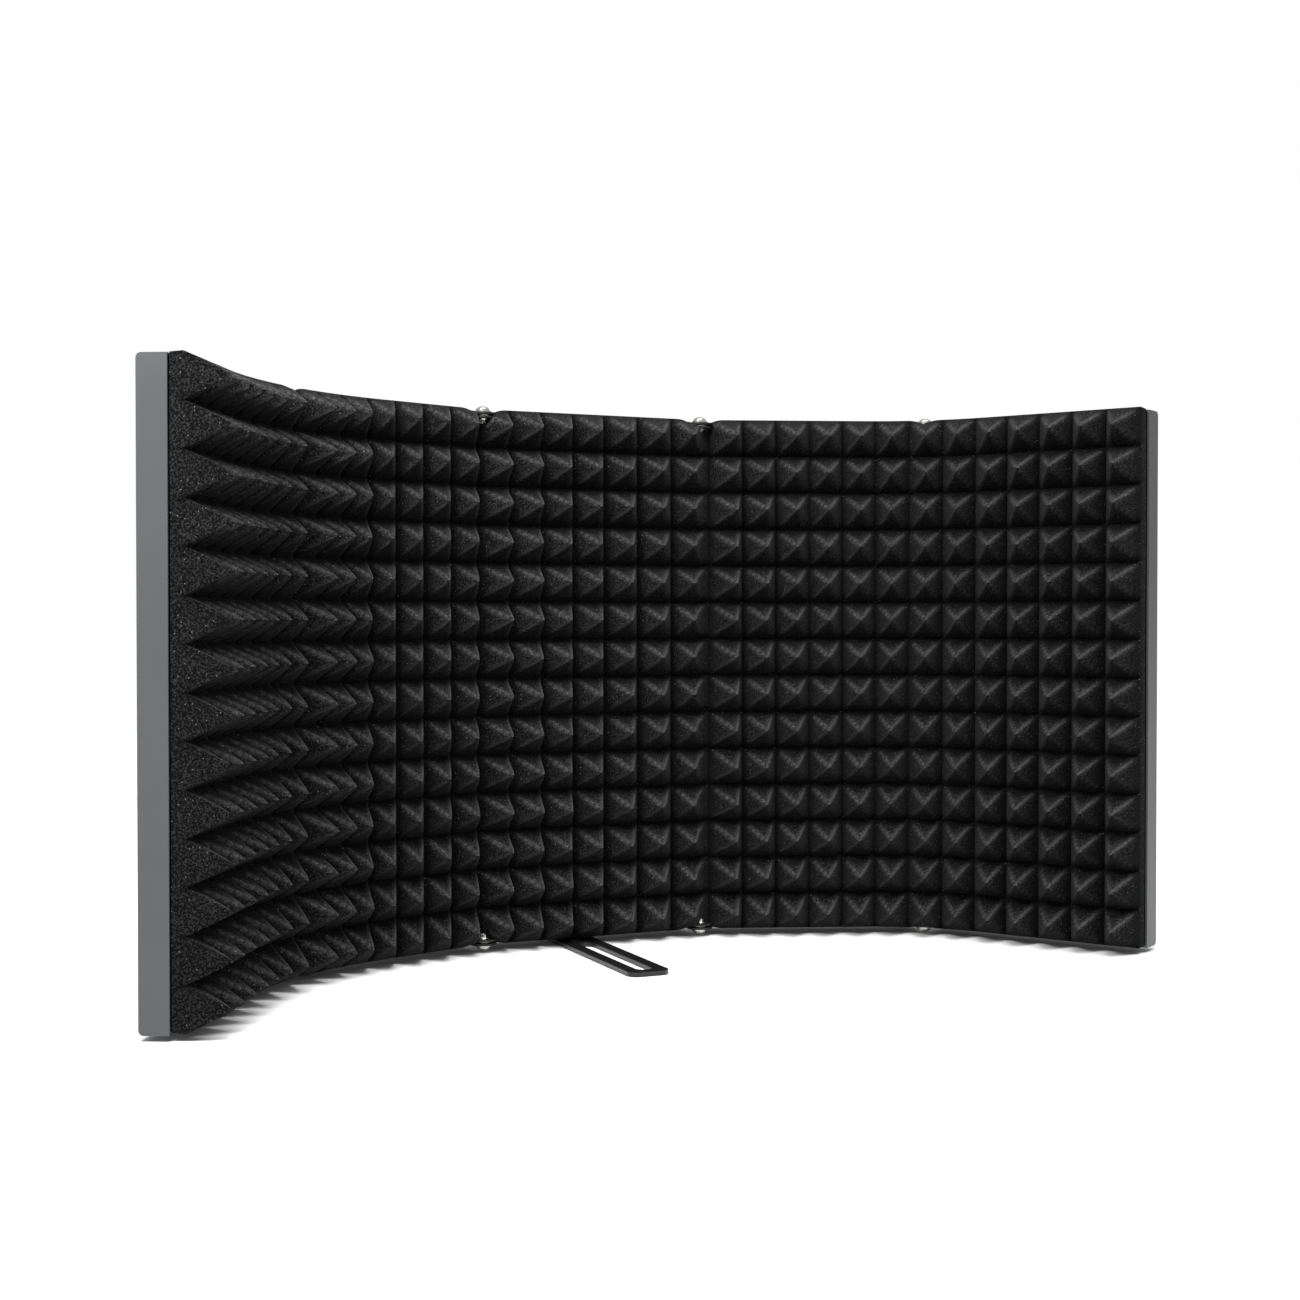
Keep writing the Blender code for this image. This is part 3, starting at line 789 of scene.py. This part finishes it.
    def build_piece(self, piece: FoamPiece, finish: bpy.types.Material) -> bpy.types.Object:
        """Build one piece: a grid pushed into pyramids, given a flat back.

        Args:
            piece: The stretch of the sheet to build.
            finish: The foam material.

        Returns:
            The piece.
        """
        across = round((piece.last - piece.first) * self.steps)
        shape = bmesh.new()
        crests = shape.verts.layers.float.new("crest")
        depths = shape.verts.layers.float.new("depth")
        upright = self.rows * self.steps
        # The grid runs from -0.5 to 0.5 both ways, and its back is pushed one unit along Y.
        bmesh.ops.create_grid(shape, x_segments=across, y_segments=upright, size=0.5)
        for vert in shape.verts:
            x = piece.first + (vert.co.x + 0.5) * (piece.last - piece.first)
            z = self.low + (vert.co.y + 0.5) * (self.high - self.low)
            vert.co = (x, 0.0, z)
        pushed = bmesh.ops.extrude_face_region(shape, geom=list(shape.faces))
        moved = [item for item in pushed["geom"] if isinstance(item, bmesh.types.BMVert)]
        bmesh.ops.translate(shape, verts=moved, vec=(0.0, 1.0, 0.0))
        for vert in shape.verts:
            self.place(vert, crests, depths)
        made = finish_mesh(shape, piece.name, finish)
        made.data.polygons.foreach_set("use_smooth", [True] * len(made.data.polygons))
        way = (self.plan.along(piece.joint) + self.plan.along(piece.joint + 1)).normalized()
        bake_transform(made)
        if piece.replaces:
            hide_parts(*piece.replaces)
        LOG.info("foam piece %s: %d faces", piece.name, len(made.data.polygons))
        return made


OUTER_PAN = 141.5 * MM
INNER_PAN = 143.0 * MM
# The pivot beside each pan, and where the pan starts and ends along its panel from there.
PAN_SPANS = {
    1: (1, -OUTER_PAN, 0.0),
    2: (2, -INNER_PAN, 0.0),
    3: (3, -INNER_PAN, 0.0),
    4: (3, 0.0, INNER_PAN),
    5: (4, 0.0, OUTER_PAN),
}


@dataclass
class FoamBacking:
    """The slab of foam that fills a pan behind the cut face and shows through the vent slots."""

    panel: int
    inset: float = 3.4 * MM
    front: float = 11.2 * MM
    back: float = 23.4 * MM
    end_gap: float = 3.6 * MM
    rounding: float = 1.2 * MM

    def build(self, plan: Plan, finish: bpy.types.Material) -> bpy.types.Object:
        """Build the slab between the pan's walls.

        Args:
            plan: The shield's plan.
            finish: The foam material.

        Returns:
            The slab, riding on its panel.
        """
        low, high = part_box(f"pan_{self.panel}")
        seam, left, right = PAN_SPANS[self.panel]
        hinge = plan.pivots[seam]
        along = plan.along(self.panel)
        outward = plan.outward(self.panel)
        left += self.inset
        right -= self.inset
        size = (right - left, self.back - self.front, high.z - low.z - 2.0 * self.end_gap)
        shape = bmesh.new()
        bmesh.ops.create_cube(shape, size=1.0)
        bmesh.ops.scale(shape, vec=size, verts=shape.verts)
        bmesh.ops.bevel(
            shape,
            geom=shape.edges,
            offset=self.rounding,
            segments=3,
            profile=0.5,
            affect="EDGES",
            material=-1,
        )
        bmesh.ops.subdivide_edges(shape, edges=shape.edges, cuts=3, use_grid_fill=True)
        middle = hinge + along * (left + right) / 2.0 - outward * (self.front + self.back) / 2.0
        turn = Matrix.Rotation(plan.headings[self.panel], 3, "Z")
        bmesh.ops.rotate(shape, verts=shape.verts, matrix=turn)
        spot = (middle.x, middle.y, (low.z + high.z) / 2.0)
        bmesh.ops.translate(shape, verts=shape.verts, vec=spot)
        made = finish_mesh(shape, f"foam_backing_{self.panel}", finish)
        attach(made, f"panel_{self.panel}")
        LOG.info("foam backing %d", self.panel)
        return made


# Sideways lean of each column's tips, in millimetres to the right, from the left column on.
LEFT_LEANS = (0.0, -3.0, -4.5, -6.0, -7.5, -8.5, -9.0, 1.0, -1.0, -5.5, -7.5, -8.0, -7.0, -5.5)
CENTRE_LEANS = (5.5, 3.8, 1.3, 0.2, -1.2, -3.2, -6.5)
RIGHT_LEANS = (5.2, 2.6, 0.0, -1.2, -2.7, -1.4, 2.6, 4.6, 7.5, 4.6, 4.2, 2.5, 1.0)
# Where the centre sheet's columns start, in millimetres along it. It ends with the last column.
CENTRE_EDGES = (0.0, 20.5, 41.0, 61.5, 82.0, 104.4, 127.4)


@dataclass
class Foam:
    """The whole lining: three sheets, cut where panels fold, and the slabs inside the pans."""

    plan: Plan
    end_reach: float = 139.9 * MM
    seam: float = 3.8 * MM
    gap: float = 0.3 * MM
    overrun: float = 5.6 * MM
    left_fold: float = 136.0 * MM
    left_columns: int = 7
    left_press: float = 2.4 * MM
    bulge_left: float = 187.0 * MM
    bulge_centre: float = 28.0 * MM
    bulge_right: float = 110.0 * MM
    centre_slant: float = -3.0 * MM
    proud: float = 0.9 * MM

    def levels(self) -> dict[str, float]:
        """Find the lower and upper edge of every sheet, a little above the middle pan's.

        Returns:
            The two levels, under the names that FoamSheet takes.
        """
        low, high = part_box("pan_3")
        return {"low": low.z + self.proud, "high": high.z + self.proud}

    def left_sheet(self) -> FoamSheet:
        """Lay out the sheet on the two left panels.

        Returns:
            The sheet, in two pieces.
        """
        plan, hinge = self.plan, self.plan.pivots
        path = BendPath(
            hinge[1] - plan.along(1) * self.end_reach,
            hinge[1],
            hinge[2] - plan.along(2) * (self.seam + self.gap),
            self.bulge_left,
        )
        # The sheet is squeezed a little past its fold and starts with half a column.
        count = self.left_columns
        near = self.left_fold / (count - 0.5)
        far = (path.length - self.left_fold) / count
        edges = [(index - 0.5) * near for index in range(count + 1)]
        edges += [self.left_fold + far * index for index in range(1, count + 1)]
        pieces = [
            FoamPiece("foam_left_outer", 0.5, 11.0, ("panel_1", "panel_2"), 1, ("foam_1",)),
            FoamPiece("foam_left_inner", 11.0, 14.0, ("panel_2", "panel_3"), 2, ("foam_2",)),
        ]
        return FoamSheet(
            path,
            edges,
            LEFT_LEANS,
            pieces,
            plan,
            seed=1.7,
            path_fold=1,
            end_press=self.left_press,
            **self.levels(),
        )

    def centre_sheet(self) -> FoamSheet:
        """Lay out the sheet on the middle panel, which runs on across the fold to its right.

        Returns:
            The sheet, in two pieces.
        """
        plan, hinge = self.plan, self.plan.pivots
        path = BendPath(
            hinge[2] - plan.along(3) * self.seam,
            hinge[3],
            hinge[3] + plan.along(4) * self.overrun,
            self.bulge_centre,
        )
        edges = [edge * MM for edge in CENTRE_EDGES] + [path.length]
        pieces = [
            FoamPiece("foam_centre_left", 0.0, 3.0, ("panel_2", "panel_3"), 2, ("foam_3",)),
            FoamPiece("foam_centre_right", 3.0, 7.0, ("panel_3", "panel_4"), 3, ()),
        ]
        return FoamSheet(
            path,
            edges,
            CENTRE_LEANS,
            pieces,
            plan,
            seed=5.1,
            start_slant=self.centre_slant,
            **self.levels(),
        )

    def right_sheet(self) -> FoamSheet:
        """Lay out the sheet on the two right panels.

        Returns:
            The sheet, in two pieces.
        """
        plan, hinge = self.plan, self.plan.pivots
        path = BendPath(
            hinge[3] + plan.along(4) * (self.overrun + self.gap),
            hinge[4],
            hinge[4] + plan.along(5) * self.end_reach,
            self.bulge_right,
        )
        count = len(RIGHT_LEANS)
        edges = [path.length * index / count for index in range(count + 1)]
        pieces = [
            FoamPiece("foam_right_inner", 0.0, 3.0, ("panel_3", "panel_4"), 3, ("foam_4",)),
            FoamPiece("foam_right_outer", 3.0, 13.0, ("panel_4", "panel_5"), 4, ("foam_5",)),
        ]
        return FoamSheet(
            path, edges, RIGHT_LEANS, pieces, plan, seed=9.3, path_fold=4, **self.levels()
        )

    def build(self) -> None:
        """Build the lining: the sheets from left to right, then the slabs."""
        finish = OpenCellFoam().make()
        for sheet in (self.left_sheet(), self.centre_sheet(), self.right_sheet()):
            sheet.build(finish)
        for panel in range(1, 6):
            FoamBacking(panel).build(self.plan, finish)


# Outline of a screw's socket and its broken mouth: radius and depth in millimetres.
SOCKET = ((0.0, 1.2), (1.15, 1.2), (1.3, 0.25), (1.5, 0.12))
HEX_WEDGE = math.radians(60.0)


@dataclass
class Pivot:
    """One pivot's bright hardware: domed screw with collar, washer and flanged nut.

    A bevel is how far it goes in and how far it goes along.
    """

    seam: int
    end: End
    head: float = 3.95 * MM
    head_depth: float = 2.4 * MM
    head_bevel: tuple[float, float] = (0.25 * MM, 0.1 * MM)
    dome: float = 2.0 * MM
    dome_lip: float = 0.05 * MM
    dome_angle: float = 68.0
    dome_steps: int = 8
    collar: float = 4.8 * MM
    collar_depth: float = 1.45 * MM
    collar_bevel: tuple[float, float] = (0.35 * MM, 0.3 * MM)
    collar_under: tuple[float, float] = (0.3 * MM, 0.3 * MM)
    shank: float = 1.9 * MM
    shank_bevel: float = 0.5 * MM
    thread: float = 0.7 * MM
    thread_depth: float = 0.35 * MM
    thread_reach: float = 2.1 * MM
    thread_turns: int = 3
    washer_bore: float = 2.1 * MM
    washer_bevel: float = 0.2 * MM
    flats: float = 3.5 * MM
    nut_bore: float = 2.05 * MM
    nut_steps: int = 48
    flange: float = 0.8 * MM
    flange_bevel: tuple[float, float] = (0.2 * MM, 0.3 * MM)
    flange_top: tuple[float, float] = (0.3 * MM, 0.1 * MM)
    nut_bevel: tuple[float, float] = (0.3 * MM, 0.45 * MM)
    flats_slack: float = 0.05 * MM

    def levels(self, node: str) -> tuple[Vector, float, float, float]:
        """Read where a CAD node lies.

        Args:
            node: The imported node's name.

        Returns:
            Axis point, outer level, inner level and inward direction along Z.
        """
        low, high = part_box(node)
        axis = Vector(((low.x + high.x) / 2.0, (low.y + high.y) / 2.0, 0.0))
        if self.end is End.TOP:
            return axis, high.z, low.z, -1.0
        return axis, low.z, high.z, 1.0

    def screw_profile(self, outer: float, inner: float, way: float) -> list[tuple[float, float]]:
        """Draw the screw from its socket, over the dome, down to the threaded end.

        Args:
            outer: Level of the dome's top.
            inner: Level of the threaded end.
            way: Direction from the dome to the thread along Z, one or minus one.

        Returns:
            The outline as (radius, level) points.
        """
        profile = [(radius * MM, outer + way * depth * MM) for radius, depth in SOCKET]
        for step in range(self.dome_steps + 1):
            angle = math.radians(self.dome_angle - self.dome_angle * step / self.dome_steps)
            drop = self.dome * (1.0 - math.sin(angle))
            profile.append((self.head * math.cos(angle), outer + way * (self.dome_lip + drop)))
        base = outer + way * self.head_depth
        inset, rise = self.head_bevel
        profile += [(self.head, base - way * rise), (self.head - inset, base)]
        inset, rise = self.collar_bevel
        profile += [(self.collar - inset, base), (self.collar, base + way * rise)]
        under = base + way * self.collar_depth
        inset, rise = self.collar_under
        profile += [(self.collar, under - way * rise), (self.collar - inset, under)]
        start = inner - way * self.thread_reach
        profile += [(self.shank, under), (self.shank, start)]
        for turn in range(self.thread_turns):
            level = start + way * self.thread * turn
            profile += [(self.shank - self.thread_depth, level + way * self.thread * 0.25)]
            profile += [(self.shank, level + way * self.thread * 0.75)]
        profile += [(self.shank - self.shank_bevel, inner), (0.0, inner)]
        return profile

    def build(self, finish: bpy.types.Material) -> None:
        """Build the screw, washer and nut.

        Args:
            finish: The bright metal.
        """
        tag = f"{self.seam}_{self.end.value}"
        makers: dict[str, Callable[[str], bmesh.types.BMesh]] = {
            "screw": self.make_screw,
            "washer": self.make_washer,
            "nut": self.make_nut,
        }
        for kind, maker in makers.items():
            node = f"{kind}_{tag}"
            made = finish_mesh(maker(node), f"bright_{node}", finish)
            made.data.polygons.foreach_set("use_smooth", [True] * len(made.data.polygons))
            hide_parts(node)
            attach(made, f"panel_{self.seam + 1}")
        LOG.info("pivot %s", tag)

    def make_screw(self, node: str) -> bmesh.types.BMesh:
        """The domed screw, turned about its axis."""
        axis, outer, inner, way = self.levels(node)
        return turn_profile(self.screw_profile(outer, inner, way), axis)

    def make_washer(self, node: str) -> bmesh.types.BMesh:
        """Turn the plain washer between the lugs, its edges broken.

        Args:
            node: The CAD washer that it replaces.

        Returns:
            The washer.
        """
        axis, outer, inner, way = self.levels(node)
        bore, rim, soft = self.washer_bore, self.collar, self.washer_bevel
        outline = [(bore, outer), (rim - soft, outer), (rim, outer + way * soft)]
        outline += [(rim, inner - way * soft), (rim - soft, inner), (bore, inner), (bore, outer)]
        return turn_profile(outline, axis)

    def make_nut(self, node: str) -> bmesh.types.BMesh:
        """Turn the flanged nut and push its upper band out to a hexagon.

        Args:
            node: The CAD nut that it replaces.

        Returns:
            The nut.
        """
        axis, outer, inner, way = self.levels(node)
        bore, rim, flats = self.nut_bore, self.collar, self.flats
        step = outer + way * self.flange
        inset, rise = self.flange_bevel
        outline = [(bore, outer), (rim - inset, outer), (rim, outer + way * rise)]
        inset, rise = self.flange_top
        outline += [(rim - inset, step), (flats, step + way * rise)]
        inset, rise = self.nut_bevel
        outline += [(flats, inner - way * rise), (flats - inset, inner)]
        outline += [(bore, inner), (bore, outer)]
        shape = turn_profile(outline, axis, self.nut_steps)
        for vert in shape.verts:
            away = Vector((vert.co.x - axis.x, vert.co.y - axis.y))
            if abs(away.length - flats) > self.flats_slack:
                continue
            angle = math.atan2(away.y, away.x)
            local = (angle + HEX_WEDGE / 2.0) % HEX_WEDGE - HEX_WEDGE / 2.0
            away = away / math.cos(local)
            vert.co.x = axis.x + away.x
            vert.co.y = axis.y + away.y
        return shape


@dataclass
class Metalwork:
    """The sheet-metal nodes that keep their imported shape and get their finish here."""

    nodes: dict[str, bpy.types.Object]

    def dress(self) -> None:
        """Give each packed metal node its finish."""
        coat = PowderCoat().make()
        oxide = BLACK_OXIDE.make()
        satin = SATIN_BLACK.make()
        finishes = {"pan": coat, "lug": oxide, "mic": satin, "bar": oxide}
        for name, node in self.nodes.items():
            kind = name.split("_")[0]
            if kind not in finishes:
                continue
            node.data.materials.clear()
            node.data.materials.append(finishes[kind])
            LOG.info("dressed %s", name)


@dataclass(frozen=True)
class Softbox:
    """One square lamp and the point that it faces."""

    name: str
    spot: Vector
    size: float
    power: float
    aim: Vector


OVERHEAD = Softbox("overhead", Vector((-0.1, -0.45, 1.7)), 0.9, 9.0, Vector((0.0, 0.0, 0.15)))
END_KEY = Softbox("end_key", Vector((-0.5, -0.38, 0.72)), 0.3, 5.2, Vector((-0.28, -0.1, 0.3)))


@dataclass
class Studio:
    """Pale seamless floor, soft light from above and the camera."""

    plan: Plan
    lens: float = 50.77
    sensor: float = 36.0
    clip: tuple[float, float] = (0.05, 60.0)
    eye: tuple[float, float, float] = (-0.4952, -1.0403, 0.1967)
    heading: float = 23.91
    pitch: float = -0.878
    floor_size: float = 14.0
    floor_drop: float = 0.4 * MM
    sun_power: float = 2.2
    sun_softness: float = 38.0
    sun_direction: tuple[float, float, float] = (0.02, 0.42, -1.0)
    glow_span: tuple[float, float] = (-0.4, 0.8)
    glow_power: tuple[float, float] = (0.3, 0.55)

    def add_floor(self) -> None:
        """Lay a wide sheet of studio paper under the object."""
        shape = bmesh.new()
        bmesh.ops.create_grid(shape, x_segments=8, y_segments=8, size=self.floor_size)
        floor = finish_mesh(shape, "studio_floor", StudioPaper().make())
        floor.location.z = -self.floor_drop
        floor.visible_diffuse = False

    def add_lamp(self, data: bpy.types.Light, direction: Vector) -> bpy.types.Object:
        """Stand a lamp in the scene.

        Args:
            data: The lamp's data, whose name the lamp takes.
            direction: Which way it shines.

        Returns:
            The lamp, at the origin.
        """
        lamp = bpy.data.objects.new(data.name, data)
        lamp.rotation_euler = direction.to_track_quat("-Z", "Y").to_euler()
        bpy.context.scene.collection.objects.link(lamp)
        return lamp

    def add_softbox(self, box: Softbox) -> None:
        """Add one soft square light.

        Args:
            box: The light to add.
        """
        data = bpy.data.lights.new(box.name, "AREA")
        data.shape = "SQUARE"
        data.size = box.size
        data.energy = box.power
        self.add_lamp(data, box.aim - box.spot).location = box.spot

    def add_sun(self) -> None:
        """Add an even, soft light from above and a little in front, which whitens the floor."""
        data = bpy.data.lights.new("even_light", "SUN")
        data.energy = self.sun_power
        data.angle = math.radians(self.sun_softness)
        self.add_lamp(data, Vector(self.sun_direction))

    def add_surroundings(self) -> None:
        """Surround the object with white that lights it more from above than from below."""
        world = bpy.data.worlds.new("white_surroundings")
        world.use_nodes = True
        tree = world.node_tree
        glow = tree.nodes["Background"]
        path = add_node(tree, "ShaderNodeLightPath", {}, {})
        spot = add_node(tree, "ShaderNodeTexCoord", {}, {})
        up = add_node(tree, "ShaderNodeSeparateXYZ", {}, {"Vector": spot.outputs["Generated"]})
        rise = {"in:From Min": self.glow_span[0], "in:From Max": self.glow_span[1]}
        rise |= {"in:To Min": self.glow_power[0], "in:To Max": self.glow_power[1]}
        lift = add_node(tree, "ShaderNodeMapRange", rise, {"Value": up.outputs["Z"]})
        # The camera sees plain white, and everything else sees the graded light.
        pick = add_node(tree, "ShaderNodeMix", {}, {})
        tree.links.new(path.outputs["Is Camera Ray"], pick.inputs[MIX_FACTOR])
        tree.links.new(lift.outputs["Result"], pick.inputs[NUMBER_A])
        pick.inputs[NUMBER_B].default_value = 1.0
        tree.links.new(pick.outputs[NUMBER_OUT], glow.inputs["Strength"])
        glow.inputs["Color"].default_value = (1.0, 1.0, 1.0, 1.0)
        bpy.context.scene.world = world

    def add_lights(self) -> None:
        """Add the overhead softbox, the key near the free end and the white surroundings."""
        self.add_softbox(OVERHEAD)
        self.add_sun()
        self.add_softbox(END_KEY)
        self.add_surroundings()

    def add_camera(self) -> None:
        """Stand the camera to the left of the object, level with its upper half."""
        data = bpy.data.cameras.new("view")
        data.lens = self.lens
        data.sensor_width = self.sensor
        data.clip_start, data.clip_end = self.clip
        camera = bpy.data.objects.new("view", data)
        hinge = self.plan.pivots[3]
        camera.location = (hinge.x + self.eye[0], hinge.y + self.eye[1], self.eye[2])
        tilt, turn = math.radians(90.0 + self.pitch), math.radians(-self.heading)
        camera.rotation_euler = Euler((tilt, 0.0, turn), "XYZ")
        bpy.context.scene.collection.objects.link(camera)
        bpy.context.scene.camera = camera
        bpy.context.scene.view_settings.view_transform = "Standard"


def main() -> None:
    """Build, dress and light the shield."""
    logging.basicConfig(level=logging.INFO, format="%(name)s: %(message)s")
    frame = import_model()
    plan = Plan.read(frame["joints"])
    Metalwork(frame["nodes"]).dress()
    Foam(plan).build()
    nickel = NICKEL.make()
    for seam in range(1, 5):
        for end in End:
            Pivot(seam, end).build(nickel)
    studio = Studio(plan)
    studio.add_floor()
    studio.add_lights()
    studio.add_camera()


if __name__ == "__main__":
    main()
